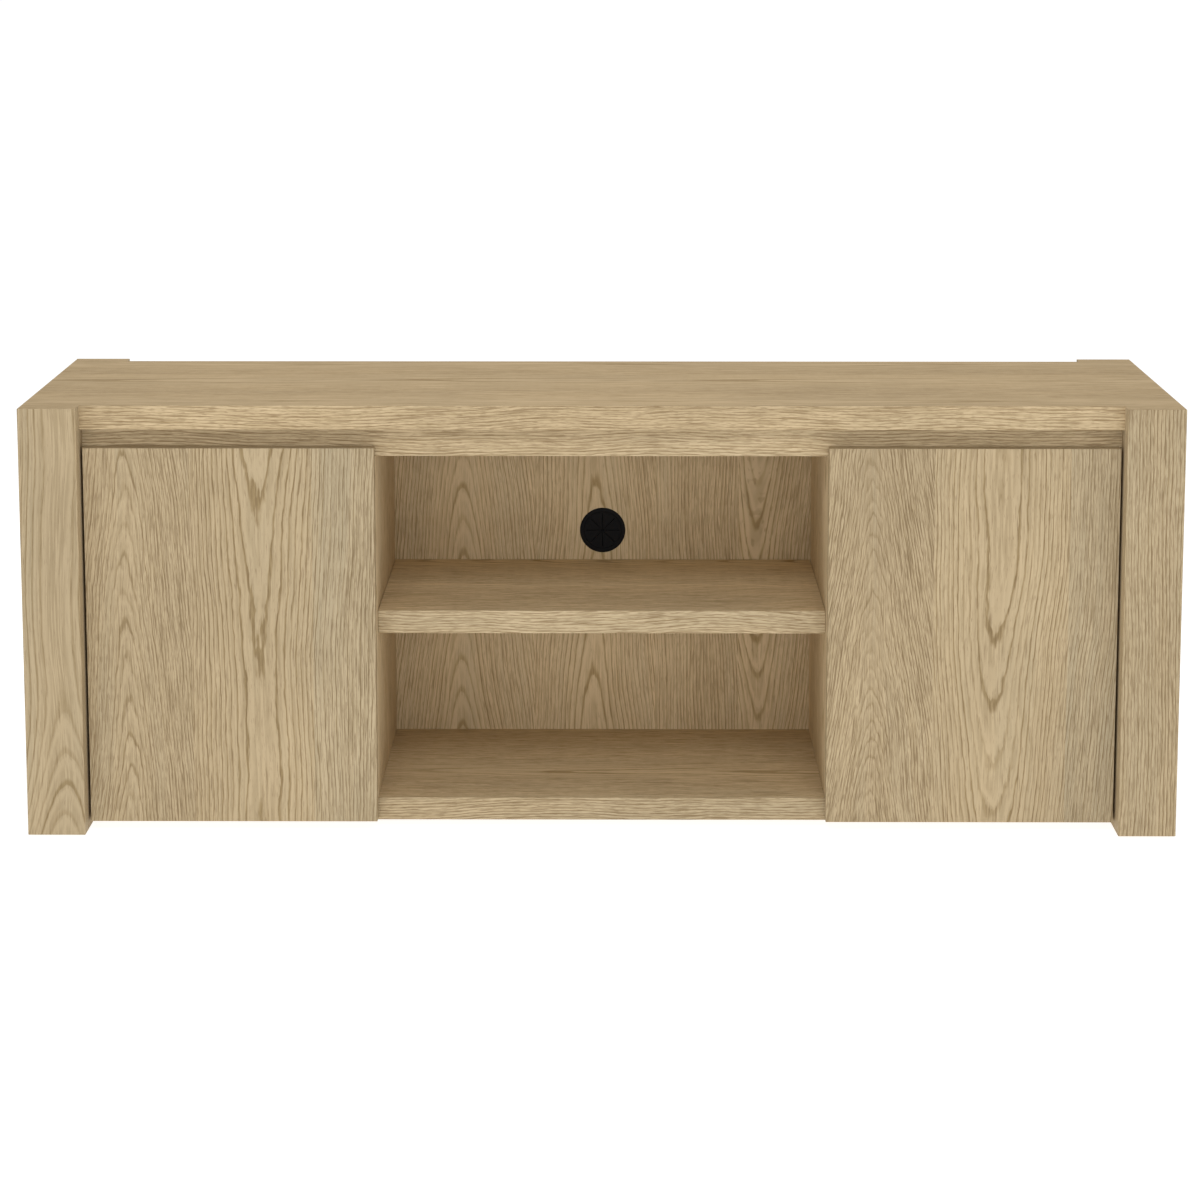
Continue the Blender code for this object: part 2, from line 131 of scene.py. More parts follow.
def add_area_light(name, place, target, size, power):
    """A soft rectangular light that faces a point."""
    data = bpy.data.lights.new(name, "AREA")
    data.shape = "RECTANGLE"
    data.size, data.size_y = size
    data.energy = power
    light = bpy.data.objects.new(name, data)
    light.visible_camera = False
    light.location = place
    light.rotation_euler = (Vector(target) - Vector(place)).to_track_quat("-Z", "Y").to_euler()
    bpy.context.scene.collection.objects.link(light)


def make_light():
    """An even white room with large soft lights in front, above the front, and overhead."""
    world = bpy.data.worlds.new("studio")
    world.use_nodes = True
    background = world.node_tree.nodes["Background"]
    background.inputs["Color"].default_value = (1, 1, 1, 1)
    background.inputs["Strength"].default_value = WORLD_STRENGTH
    bpy.context.scene.world = world
    for name, (place, target, size, power) in SOFTBOXES.items():
        add_area_light(name, place, target, size, power)
    view = bpy.context.scene.view_settings
    view.view_transform = "Standard"
    view.look = "None"


# ---------------------------------------------------------------- shader graphs


class Graph:
    """Short calls that add nodes to a material and return their output sockets."""

    def __init__(self, name):
        self.material = bpy.data.materials.new(name)
        self.material.use_nodes = True
        self.tree = self.material.node_tree
        self.shader = self.tree.nodes["Principled BSDF"]

    def feed(self, socket, value):
        """Links a socket, or sets a plain value."""
        if isinstance(value, bpy.types.NodeSocket):
            self.tree.links.new(value, socket)
        else:
            socket.default_value = value

    def math(self, operation, *values, clamp=False):
        node = self.tree.nodes.new("ShaderNodeMath")
        node.operation = operation
        node.use_clamp = clamp
        for socket, value in zip(node.inputs, values):
            self.feed(socket, value)
        return node.outputs[0]

    def smooth(self, value, low, high, start=0.0, end=1.0):
        """A soft step from start to end as value goes from low to high."""
        node = self.tree.nodes.new("ShaderNodeMapRange")
        node.interpolation_type = "SMOOTHSTEP"
        numbers = {"Value": value, "From Min": low, "From Max": high, "To Min": start, "To Max": end}
        for name, number in numbers.items():
            self.feed(node.inputs[name], number)
        return node.outputs["Result"]

    def split(self, vector):
        node = self.tree.nodes.new("ShaderNodeSeparateXYZ")
        self.feed(node.inputs[0], vector)
        return node.outputs

    def join(self, x, y, z):
        node = self.tree.nodes.new("ShaderNodeCombineXYZ")
        for socket, value in zip(node.inputs, (x, y, z)):
            self.feed(socket, value)
        return node.outputs[0]

    def attribute(self, name):
        node = self.tree.nodes.new("ShaderNodeAttribute")
        node.attribute_name = name
        return node.outputs["Vector"]

    def noise(self, vector, scale=1.0, detail=2.0, roughness=0.5):
        node = self.tree.nodes.new("ShaderNodeTexNoise")
        self.feed(node.inputs["Vector"], vector)
        node.inputs["Scale"].default_value = scale
        node.inputs["Detail"].default_value = detail
        node.inputs["Roughness"].default_value = roughness
        return node.outputs["Fac"]

    def blend(self, factor, first, second, mode="MIX"):
        """Mixes two colours."""
        node = self.tree.nodes.new("ShaderNodeMix")
        node.data_type = "RGBA"
        node.blend_type = mode
        self.feed(node.inputs["Factor"], factor)
        for socket, value in zip((s for s in node.inputs if s.type == "RGBA"), (first, second)):
            self.feed(socket, (*value, 1) if isinstance(value, tuple) else value)
        return node.outputs[2]

    def bump(self, height, distance, strength=1.0):
        node = self.tree.nodes.new("ShaderNodeBump")
        node.inputs["Strength"].default_value = strength
        node.inputs["Distance"].default_value = distance
        self.feed(node.inputs["Height"], height)
        self.tree.links.new(node.outputs[0], self.shader.inputs["Normal"])


# Linear colours of the oak
OAK_LIGHT = (0.520, 0.405, 0.250)
OAK_MID = (0.415, 0.318, 0.187)
OAK_COOL = (0.405, 0.330, 0.212)
OAK_PORE = (0.190, 0.126, 0.062)
OAK_OCHRE = (0.250, 0.172, 0.070)


def oak_material():
    """Lacquered oak veneer: ring-porous figure from the leaf's attributes."""
    g = Graph("oak_veneer")
    across, along, seed = g.split(g.attribute("grain"))
    taper, depth, spacing = g.split(g.attribute("figure"))
    bow, phase, limit = g.split(g.attribute("flow"))
    tone, warmth, porous = g.split(g.attribute("tone"))

    def stretched(across_scale, along_scale, detail, side=across, roughness=0.5, shift=0.0):
        """Noise with one scale across the grain and one along it. Each use has its own shift."""
        x, y = g.math("MULTIPLY", side, across_scale), g.math("MULTIPLY", along, along_scale)
        return g.noise(g.join(x, y, g.math("ADD", seed, shift)), 1, detail, roughness)

    def swing(noise, size):
        """Noise made to vary to either side of zero."""
        return g.math("MULTIPLY", g.math("SUBTRACT", noise, 0.5), size)

    # The heart line wanders, and the rings bulge and pinch along it
    bent = g.math("ADD", across, swing(stretched(4, 2.6, 2), 0.036))
    radius = g.math("SQRT", g.math("ADD", g.math("MULTIPLY", bent, bent), g.math("MULTIPLY", depth, depth)))
    height = g.math("SMOOTH_MIN", along, limit, 0.08)
    rise = g.math("MULTIPLY", height, g.math("ADD", taper, g.math("MULTIPLY", bow, height)))
    unrest = g.math("POWER", porous, 3.0)
    sway = swing(stretched(22, 6, 2, shift=3.1), 0.0036)
    jitter = swing(stretched(170, 38, 1, shift=7.7), 0.0018)
    sloped = g.math("ADD", radius, rise)
    sloped = g.math("ADD", sloped, g.math("MULTIPLY", unrest, sway))
    sloped = g.math("ADD", sloped, g.math("MULTIPLY", unrest, jitter))
    rings = g.math("ADD", g.math("DIVIDE", sloped, spacing), phase)
    place = g.math("FRACT", rings)
    heart = g.math("DIVIDE", depth, radius)

    # Early wood is the dark, porous start of each ring. Some rings are stronger than others
    ring_seed = g.join(g.math("MULTIPLY", g.math("FLOOR", rings), 0.83), seed, 0.5)
    strength = g.smooth(g.noise(ring_seed, 1, 0), 0.30, 0.70, 0.45, 1.0)
    early = g.math("MULTIPLY", g.smooth(place, 0.0, 0.08), g.smooth(place, 0.14, 0.34, 1.0, 0.0))
    early = g.math("MULTIPLY", early, g.math("MULTIPLY", strength, g.smooth(porous, 0.4, 0.9, 0.45, 1.0)))
    # In the most porous leaves the rings fade at the heart, and crowded pores take their place
    broken = g.math("SUBTRACT", porous, 1.0, clamp=True)
    faded = g.math("MULTIPLY", g.math("MULTIPLY", broken, 3.0), heart)
    early = g.math("MULTIPLY", early, g.math("SUBTRACT", 1.0, faded))
    late = g.math("MULTIPLY", g.smooth(place, 0.50, 0.80), g.smooth(place, 0.88, 1.0, 1.0, 0.0))

    # Pores are dashes that run with the rings. They crowd the early wood and thin out at the heart
    dash_side = g.math("ADD", bent, g.math("MULTIPLY", g.math("DIVIDE", bent, radius), rise))
    coarse = stretched(640, 24, 1, dash_side)
    fine = stretched(1250, 80, 1, dash_side, shift=2.3)
    thinned = g.smooth(heart, 0.35, 0.95, 0.0, -0.10)
    thinned = g.math("MULTIPLY", thinned, g.math("MULTIPLY_ADD", broken, -5.0, 1.0))
    crowd = g.math("ADD", g.math("MULTIPLY", early, 0.14), thinned)
    coarse_pores = g.smooth(g.math("ADD", coarse, crowd), 0.53, 0.66)
    fine_pores = g.smooth(g.math("ADD", fine, crowd), 0.52, 0.64)

    # Pale streaks between the pores, and broad changes of tone
    streak = stretched(420, 16, 1, dash_side, shift=9.3)
    broad = stretched(30, 1.6, 3, dash_side, 0.55, shift=1.7)
    cloud = stretched(8, 3.4, 2, shift=4.4)
    pale = g.math("MAXIMUM", g.smooth(streak, 0.40, 0.66), g.math("MULTIPLY", late, 0.8))
    wood = g.blend(pale, OAK_MID, OAK_LIGHT)
    cool = g.math("MULTIPLY", g.smooth(broad, 0.42, 0.72), g.math("MULTIPLY_ADD", warmth, -0.5, 0.5))
    wood = g.blend(cool, wood, OAK_COOL)
    wood = g.blend(g.math("MULTIPLY", early, g.smooth(heart, 0.30, 0.85, 0.68, 0.66)), wood, OAK_OCHRE)
    wood = g.blend(g.math("MULTIPLY", coarse_pores, g.math("MULTIPLY", porous, 0.46)), wood, OAK_PORE)
    wood = g.blend(g.math("MULTIPLY", fine_pores, g.math("MULTIPLY", porous, 0.40)), wood, OAK_PORE)

    # The leaf's tone: its own lightness, and painted fill light on the faces inside the cabinet. Warmth takes
    # away blue, and a little green
    shade = g.math("MULTIPLY", tone, g.smooth(cloud, 0.3, 0.7, 0.96, 1.05))
    shade = g.math("MULTIPLY", shade, g.smooth(broad, 0.3, 0.7, 0.96, 1.04))
    green = g.math("MULTIPLY", shade, g.math("MULTIPLY_ADD", warmth, -0.03, 1.0))
    blue = g.math("MULTIPLY", shade, g.math("MULTIPLY_ADD", warmth, -0.07, 1.0))
    wood = g.blend(1.0, wood, g.join(shade, green, blue), "MULTIPLY")
    g.feed(g.shader.inputs["Base Color"], wood)

    pores = g.math("MAXIMUM", coarse_pores, g.math("MULTIPLY", fine_pores, 0.7))
    g.feed(g.shader.inputs["Roughness"], g.math("ADD", 0.58, g.math("MULTIPLY", pores, 0.2)))
    g.shader.inputs["Specular IOR Level"].default_value = 0.12
    g.bump(g.math("SUBTRACT", g.math("MULTIPLY", early, -0.3), pores), 0.0001, 0.6)
    return g.material


def metal_material(name, color, roughness):
    """Plated steel with a faint drawn texture and uneven gloss."""
    g = Graph(name)
    place = g.tree.nodes.new("ShaderNodeTexCoord").outputs["Object"]
    x, y, z = g.split(place)
    stretched = g.join(g.math("MULTIPLY", x, 2600), g.math("MULTIPLY", y, 260), g.math("MULTIPLY", z, 2600))
    drawn = g.noise(stretched, 1, 2)
    cloud = g.noise(place, 90, 2)
    g.feed(g.shader.inputs["Base Color"], g.blend(cloud, tuple(c * 0.9 for c in color), color))
    g.shader.inputs["Metallic"].default_value = 1.0
    g.feed(g.shader.inputs["Roughness"], g.math("ADD", roughness, g.math("MULTIPLY", drawn, 0.14)))
    g.bump(drawn, 0.00002, 0.5)
    return g.material


def moulded_material(name, color, roughness, specular=0.5):
    """Moulded rubber or plastic with a fine satin skin."""
    g = Graph(name)
    g.shader.inputs["Specular IOR Level"].default_value = specular
    place = g.tree.nodes.new("ShaderNodeTexCoord").outputs["Object"]
    skin = g.noise(place, 900, 3)
    cloud = g.noise(place, 45, 2)
    g.feed(g.shader.inputs["Base Color"], g.blend(cloud, tuple(c * 0.8 for c in color), color))
    g.feed(g.shader.inputs["Roughness"], g.math("ADD", roughness, g.math("MULTIPLY", skin, 0.2)))
    g.bump(skin, 0.00005, 0.5)
    return g.material


# ---------------------------------------------------------------- boards


class Leaf:
    """One strip of veneer on a face.

    It ends at a coordinate across the face. The rings are cones round the heart line: taper is how fast they
    close along the leaf (positive makes arches that point up the leaf) and bow how the taper changes, up to a
    limit along the leaf. Depth is the heart's depth below the face, which rounds the arches. Phase slides the
    arches along. Warmth and porosity are 0 and 1 for the plainest leaves, and warmth below 0 is greyer.
    """

    def __init__(
        self, end, heart, taper, depth, spacing, tone=1.0, seed=0.0,
        bow=0.0, phase=0.0, limit=9.0, warmth=0.0, porous=1.0,
    ):
        self.end = end
        self.heart = heart
        self.seed = seed
        self.figure = (taper, depth, spacing)
        self.flow = (bow, phase, limit)
        self.tone = (tone, warmth, porous)


# The end of a face's last leaf: past the end of any board
PAST_END = 9
# About how wide a leaf is where the figure is plain
PLAIN_WIDTH = 0.17


def plain_leaves(low, high, rng, tone=1.0):
    """Leaves of quiet figure across a face, from a seeded random source."""
    count = max(1, round((high - low) / PLAIN_WIDTH))
    leaves = []
    for number in range(count):
        start = low + (high - low) * number / count
        end = low + (high - low) * (number + 1) / count
        leaf = Leaf(
            end,
            heart=start + (end - start) * rng.uniform(-0.2, 1.2),
            taper=rng.choice((-1, 1)) * rng.uniform(0.02, 0.07),
            depth=rng.uniform(0.02, 0.05),
            spacing=rng.uniform(0.004, 0.006),
            tone=tone * rng.uniform(0.97, 1.03),
            seed=rng.uniform(0, 50),
        )
        leaves.append(leaf)
    return leaves


def straight_leaf(rng, tone=1.0, **finish):
    """One leaf of straight, close grain, cut far from the heart."""
    return Leaf(
        PAST_END,
        heart=-1 - rng.uniform(0, 0.3),
        taper=rng.uniform(-0.012, 0.012),
        depth=0.02,
        spacing=0.0038,
        tone=tone,
        seed=rng.uniform(0, 50),
        **finish,
    )


def add_to_scene(obj):
    bpy.context.scene.collection.objects.link(obj)
    return obj


def object_from(bm, name):
    """Ends a bmesh as a new object in the scene."""
    mesh = bpy.data.meshes.new(name)
    bm.to_mesh(mesh)
    bm.free()
    return add_to_scene(bpy.data.objects.new(name, mesh))


def box_object(name, low, high):
    """A plain box as a cutter or a start."""
    bm = bmesh.new()
    bmesh.ops.create_cube(bm, size=1)
    for vertex in bm.verts:
        for i in range(3):
            vertex.co[i] = high[i] if vertex.co[i] > 0 else low[i]
    return object_from(bm, name)


def cylinder_object(name, centre, axis, radius, length, segments=48):
    """A cylinder with its middle at a point, as a cutter."""
    bm = bmesh.new()
    bmesh.ops.create_cone(bm, cap_ends=True, segments=segments, radius1=radius, radius2=radius, depth=length)
    turn = Vector(axis).to_track_quat("Z", "Y").to_matrix().to_4x4()
    bmesh.ops.transform(bm, matrix=turn, verts=bm.verts)
    bmesh.ops.translate(bm, vec=centre, verts=bm.verts)
    return object_from(bm, name)


def bake_modifiers(obj):
    """Replaces the object's mesh by what its modifiers make of it."""
    bpy.context.view_layer.update()
    evaluated = obj.evaluated_get(bpy.context.evaluated_depsgraph_get())
    mesh = bpy.data.meshes.new_from_object(evaluated)
    obj.modifiers.clear()
    # A cut leaves some doubled corners and empty faces
    bm = bmesh.new()
    bm.from_mesh(mesh)
    bmesh.ops.remove_doubles(bm, verts=bm.verts, dist=1e-7)
    bmesh.ops.dissolve_degenerate(bm, edges=bm.edges, dist=1e-7)
    bm.to_mesh(mesh)
    bm.free()
    old = obj.data
    obj.data = mesh
    bpy.data.meshes.remove(old)


def combine(obj, others, operation):
    """Cuts closed solids out of the object's mesh, or adds them to it, and removes them."""
    for other in others:
        modifier = obj.modifiers.new(other.name, "BOOLEAN")
        modifier.operation = operation
        modifier.solver = "EXACT"
        modifier.object = other
    bake_modifiers(obj)
    for other in others:
        bpy.data.objects.remove(other, do_unlink=True)


def carve(obj, cutters):
    combine(obj, cutters, "DIFFERENCE")


def board_mesh(name, low, high, joint_x=None, joint_z=None):
    """A box with rounded arrises.

    Edges where another board carries on stay square: those that lie at the distance joint_x from the middle
    and, where it is given, at the height joint_z.
    """

    def stays_square(edge):
        ends = [v.co for v in edge.verts]
        at_x = joint_x is not None and all(abs(abs(c.x) - joint_x) < 1e-5 for c in ends)
        return at_x and (joint_z is None or all(abs(c.z - joint_z) < 1e-5 for c in ends))

    obj = box_object(name, low, high)
    bm = bmesh.new()
    bm.from_mesh(obj.data)
    edges = [e for e in bm.edges if not stays_square(e)]
    bmesh.ops.bevel(
        bm, geom=edges, offset=ARRIS, offset_type="OFFSET", segments=3, profile=0.5, affect="EDGES"
    )
    bm.to_mesh(obj.data)
    bm.free()
    return obj


def face_axes(normal, grain):
    """The axes across and along the veneer of a face that looks along a normal."""
    facing = max(range(3), key=lambda i: abs(normal[i]))
    along = AXES[grain]
    if along == facing:
        along = 0 if facing != 0 else 1
    return 3 - facing - along, along


def lay_veneer(obj, grain, leaves_by_face, default_leaves, top_grain=None):
    """Splits the faces at the leaves' edges and writes the veneer's attributes.

    leaves_by_face maps a face's name, such as "-Y", to its leaves. Any other face takes those that
    default_leaves gives for its name. The veneer runs along the grain axis, or on the top along top_grain.
    """
    bm = bmesh.new()
    bm.from_mesh(obj.data)
    for face_name, leaves in leaves_by_face.items():
        normal = [0, 0, 0]
        normal[AXES[face_name[1]]] = 1
        board_grain = top_grain if top_grain and face_name == "+Z" else grain
        across, _ = face_axes(normal, board_grain)
        plane = [0, 0, 0]
        plane[across] = 1
        for leaf in leaves[:-1]:
            spot = [0, 0, 0]
            spot[across] = leaf.end
            geom = [*bm.faces, *bm.edges, *bm.verts]
            bmesh.ops.bisect_plane(bm, geom=geom, plane_co=spot, plane_no=plane, dist=1e-6)
    grain_layer = bm.loops.layers.float_vector.new("grain")
    figure_layer = bm.loops.layers.float_vector.new("figure")
    flow_layer = bm.loops.layers.float_vector.new("flow")
    tone_layer = bm.loops.layers.float_vector.new("tone")
    for face in bm.faces:
        facing = max(range(3), key=lambda i: abs(face.normal[i]))
        face_name = ("+" if face.normal[facing] > 0 else "-") + "XYZ"[facing]
        board_grain = top_grain if top_grain and face_name == "+Z" else grain
        across, along = face_axes(face.normal, board_grain)
        leaves = leaves_by_face.get(face_name) or default_leaves(face_name)
        position = face.calc_center_median()[across]
        leaf = next((leaf for leaf in leaves if position < leaf.end), leaves[-1])
        for loop in face.loops:
            co = loop.vert.co
            loop[grain_layer] = (co[across] - leaf.heart, co[along], leaf.seed)
            loop[figure_layer] = leaf.figure
            loop[flow_layer] = leaf.flow
            loop[tone_layer] = leaf.tone
    bm.to_mesh(obj.data)
    bm.free()
    obj.data.shade_smooth()
    obj.data.set_sharp_from_angle(angle=math.radians(40))
    normals = obj.modifiers.new("flat_faces", "WEIGHTED_NORMAL")
    normals.keep_sharp = True
    normals.weight = 90


def quiet_edges(rng):
    """Returns a function that gives straight, close veneer to any face that has no leaves of its own."""
    made = {}

    def leaves(face_name):
        if face_name not in made:
            made[face_name] = [straight_leaf(rng)]
        return made[face_name]

    return leaves


def fitting_holes(boxes, board):
    """Cutters for the pegs, cam bolts and glide pins that enter a board, and for its cams."""
    cutters = []
    low, high = boxes[board]
    for name, (fit_low, fit_high) in boxes.items():
        centre = middle((fit_low, fit_high))
        if name.endswith(("_peg", "_cam_bolt")):
            shank = PEG_RADIUS if name.endswith("_peg") else BOLT_RADIUS
            axis, length = (1, 0, 0), fit_high.x - fit_low.x
        elif name.endswith("_cam"):
            # The pocket is open at the face that the cam is flush with
            shank = (fit_high.x - fit_low.x) / 2
            axis, length = (0, 0, 1), 2 * (fit_high.z - fit_low.z)
            centre = Vector((centre.x, centre.y, fit_low.z))
        elif name.endswith("_glide"):
            shank, axis, length = GLIDE_PIN_RADIUS, (0, 0, 1), 2 * (fit_high.z - fit_low.z)
        else:
            continue
        if all(fit_low[i] < high[i] and fit_high[i] > low[i] for i in range(3)):
            hole = cylinder_object(f"hole_{name}", centre, axis, shank + CLEAR, length + 2 * CLEAR, 32)
            cutters.append(hole)
    return cutters


def finish_board(obj, node, body, material):
    """Material and body for a board, and the CAD node that it stands for."""
    obj.data.materials.clear()
    obj.data.materials.append(material)
    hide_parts(node)
    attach(obj, body)


def inner_face(boxes):
    """How far the end panels' inner faces are from the middle."""
    return abs(boxes["left_end_panel"][1].x)


def back_groove(boxes):
    """A cutter for the groove that holds the back panel."""
    low, high = boxes["back_panel"]
    return box_object("back_groove", low - SLACK, high + SLACK)


def cross_board(boxes, name):
    """A board that runs from one end panel to the other."""
    low, high = boxes[name]
    x = inner_face(boxes)
    return board_mesh(f"{name}_board", (-x, low.y, low.z), (x, high.y, high.z), joint_x=x)


def top_leaves():
    """The top's leaves run left to right, and on over the end panels."""
    look = {"warmth": 1.4, "porous": 0.65}
    return [
        Leaf(-0.07, -0.15, 0.012, 0.030, 0.0050, 0.95, 4.1, **look),
        Leaf(0.07, 0.02, -0.015, 0.045, 0.0060, 0.96, 9.7, **look),
        Leaf(PAST_END, 0.16, 0.012, 0.030, 0.0050, 0.95, 17.3, **look),
    ]


# Tones of the faces inside the cabinet. They stand for the fill light that reaches them
SHELF_TOP_TONE = 1.6
SHELF_UNDER_TONE = 1.2
BOTTOM_TONE = 1.38
DIVIDER_TONE = 1.42
BACK_TONE = 1.33
# Porosity of the straight veneer on front edges
EDGE_POROUS = 1.12


def make_end_panels(oak, boxes, rng):
    """The thick end panels, which are the cabinet's legs too. The left one shows arches near its foot."""
    for label, side in SIDES:
        name = f"{label}_end_panel"
        low, high = boxes[name]
        panel = board_mesh(f"{name}_board", low, high, inner_face(boxes), high.z)
        carve(panel, [back_groove(boxes), *fitting_holes(boxes, name)])
        front_leaf = {
            "left": Leaf(PAST_END, low.x + 0.045, 0.12, 0.045, 0.0044, 0.86, 22.0, limit=0.15, porous=0.75),
            "right": Leaf(PAST_END, low.x - 0.12, 0.012, 0.030, 0.0042, 0.92, 24.0),
        }[label]
        faces = {
            "+Z": top_leaves(),
            "-Y": [front_leaf],
            "+Y": [Leaf(PAST_END, (low.x + high.x) / 2, 0.05, 0.02, 0.005, 1.0, 29.0 + side)],
            "-X": plain_leaves(low.y, high.y, rng),
            "+X": plain_leaves(low.y, high.y, rng),
        }
        lay_veneer(panel, "Z", faces, quiet_edges(rng), top_grain="X")
        finish_board(panel, name, "root", oak)


def make_top_panel(oak, boxes, rng):
    low, high = boxes["top_panel"]
    board = cross_board(boxes, "top_panel")
    carve(board, [back_groove(boxes), *fitting_holes(boxes, "top_panel")])
    faces = {
        "+Z": top_leaves(),
        "-Z": plain_leaves(low.y, high.y, rng, 0.98),
        "-Y": [straight_leaf(rng, 1.04, warmth=0.4, porous=EDGE_POROUS)],
    }
    lay_veneer(board, "X", faces, quiet_edges(rng))
    finish_board(board, "top_panel", "root", oak)


def make_bottom_panel(oak, boxes, rng):
    low, high = boxes["bottom_panel"]
    board = cross_board(boxes, "bottom_panel")
    carve(board, [back_groove(boxes), *fitting_holes(boxes, "bottom_panel")])
    faces = {
        "+Z": plain_leaves(low.y, high.y, rng, BOTTOM_TONE),
        "-Y": [straight_leaf(rng, 0.99, porous=EDGE_POROUS)],
    }
    lay_veneer(board, "X", faces, quiet_edges(rng))
    finish_board(board, "bottom_panel", "root", oak)


def make_front_rail(oak, boxes, rng):
    board = cross_board(boxes, "front_rail")
    lay_veneer(board, "X", {"-Y": [straight_leaf(rng, 1.05, porous=1.08)]}, quiet_edges(rng))
    finish_board(board, "front_rail", "root", oak)


def make_dividers(oak, boxes, rng):
    """The uprights beside the open bay, notched at the top front for the rail."""
    rail_low, rail_high = boxes["front_rail"]
    past_top = Vector((CLEAR, CLEAR, 0.01))
    for label, _ in SIDES:
        name = f"{label}_divider"
        low, high = boxes[name]
        board = board_mesh(f"{name}_board", low, high)
        notch = box_object("notch", rail_low - SLACK, rail_high + past_top)
        carve(board, [notch, *fitting_holes(boxes, name)])
        faces = {
            "-X": plain_leaves(low.y, high.y, rng, DIVIDER_TONE),
            "+X": plain_leaves(low.y, high.y, rng, DIVIDER_TONE),
        }
        lay_veneer(board, "Z", faces, quiet_edges(rng))
        finish_board(board, name, "root", oak)


def make_shelves(oak, boxes, rng):
    """The open bay's shelf, and one behind each door."""
    for name, edge_tone in (("centre_shelf", 1.04), ("left_inner_shelf", 1.0), ("right_inner_shelf", 1.0)):
        low, high = boxes[name]
        board = board_mesh(f"{name}_board", low, high)
        faces = {
            "+Z": plain_leaves(low.y, high.y, rng, SHELF_TOP_TONE),
            "-Z": plain_leaves(low.y, high.y, rng, SHELF_UNDER_TONE),
            "-Y": [straight_leaf(rng, edge_tone, porous=EDGE_POROUS)],
        }
        lay_veneer(board, "X", faces, quiet_edges(rng))
        finish_board(board, name, "root", oak)


def make_back_panel(oak, boxes, rng):
    """The thin back, with narrow upright leaves and the cable grommet's hole."""
    low, high = boxes["back_panel"]
    board = board_mesh("back_panel_board", low, high)
    grommet = middle(boxes["cable_grommet"])
    place = (grommet.x, (low.y + high.y) / 2, grommet.z)
    carve(board, [cylinder_object("grommet_hole", place, (0, 1, 0), GROMMET_HOLE_RADIUS, 0.03)])
    # Each leaf's end, heart, taper, depth, spacing, tone and seed
    figures = (
        (-0.46, -0.53, 0.06, 0.030, 0.0044, BACK_TONE, 3.0),
        (-0.29, -0.37, -0.06, 0.030, 0.0044, BACK_TONE, 5.0),
        (-0.09, -0.185, 0.09, 0.026, 0.0042, BACK_TONE, 7.0),
        (0.07, -0.01, 0.05, 0.030, 0.0044, BACK_TONE, 13.0),
        (0.18, 0.02, 0.03, 0.050, 0.0040, BACK_TONE, 19.0),
        (0.31, 0.205, -0.08, 0.026, 0.0042, BACK_TONE + 0.03, 27.0),
        (0.47, 0.39, -0.06, 0.030, 0.0044, BACK_TONE, 33.0),
        (PAST_END, 0.55, 0.06, 0.030, 0.0044, BACK_TONE, 39.0),
    )
    leaves = [Leaf(*figure, porous=0.85) for figure in figures]
    lay_veneer(board, "Z", {"-Y": leaves, "+Y": leaves}, quiet_edges(rng))
    finish_board(board, "back_panel", "root", oak)


# Where a door's first leaf ends, from the door's left edge
DOOR_LEAF_JOINT = 0.128


def door_leaves(left_x, right_x):
    """Each door's leaves: a close flame on the left third, wide arches, and a greyer strip at the right."""
    left_arches, right_arches = left_x + 0.211, right_x + 0.206
    left_figure, right_figure = (0.010, 0.060, 0.0038), (-0.073, 0.060, 0.0038)
    left_flow, right_flow = {"bow": -0.050, "phase": 0.41}, {"bow": 0.076, "phase": 0.91}
    warm, grey = 0.2, -0.7
    left = [
        Leaf(left_x + DOOR_LEAF_JOINT, left_x + 0.046, 0.085, 0.018, 0.0036, 0.90, 2.6, porous=1.10),
        Leaf(left_x + 0.276, left_arches, *left_figure, 0.90, 6.2, warmth=warm, **left_flow),
        Leaf(PAST_END, left_arches, *left_figure, 0.89, 6.2, warmth=grey, **left_flow),
    ]
    right = [
        Leaf(right_x + DOOR_LEAF_JOINT, right_x + 0.052, 0.150, 0.014, 0.0035, 0.90, 12.4, porous=1.20),
        Leaf(right_x + 0.292, right_arches, *right_figure, 0.92, 8.8, warmth=warm, **right_flow),
        Leaf(PAST_END, right_arches, *right_figure, 0.87, 8.8, warmth=grey, **right_flow),
    ]
    return {"left": left, "right": right}


def make_doors(oak, boxes, rng):
    """Plain flat doors, with pockets for the hinges' cups in their backs."""
    leaves = door_leaves(boxes["left_door"][0].x, boxes["right_door"][0].x)
    for label, _ in SIDES:
        name = f"{label}_door"
        low, high = boxes[name]
        board = board_mesh(f"{name}_board", low, high)
        pockets = []
        for level in ("lower", "upper"):
            cup = middle(boxes[f"{label}_{level}_hinge_cup"])
            mouth = (cup.x, high.y, cup.z)
            pocket = cylinder_object(f"pocket_{level}", mouth, (0, 1, 0), CUP_RADIUS, 2 * CUP_DEPTH)
            pockets.append(pocket)
        carve(board, pockets)
        faces = {"-Y": leaves[label], "+Y": plain_leaves(low.x, high.x, rng)}
        lay_veneer(board, "Z", faces, quiet_edges(rng))
        finish_board(board, name, name, oak)


def make_boards(oak, boxes):
    """Every board. They share one random source, so their order matters."""
    rng = random.Random(11)
    make_end_panels(oak, boxes, rng)
    make_top_panel(oak, boxes, rng)
    make_bottom_panel(oak, boxes, rng)
    make_front_rail(oak, boxes, rng)
    make_dividers(oak, boxes, rng)
    make_shelves(oak, boxes, rng)
    make_back_panel(oak, boxes, rng)
    make_doors(oak, boxes, rng)


# ---------------------------------------------------------------- fittings


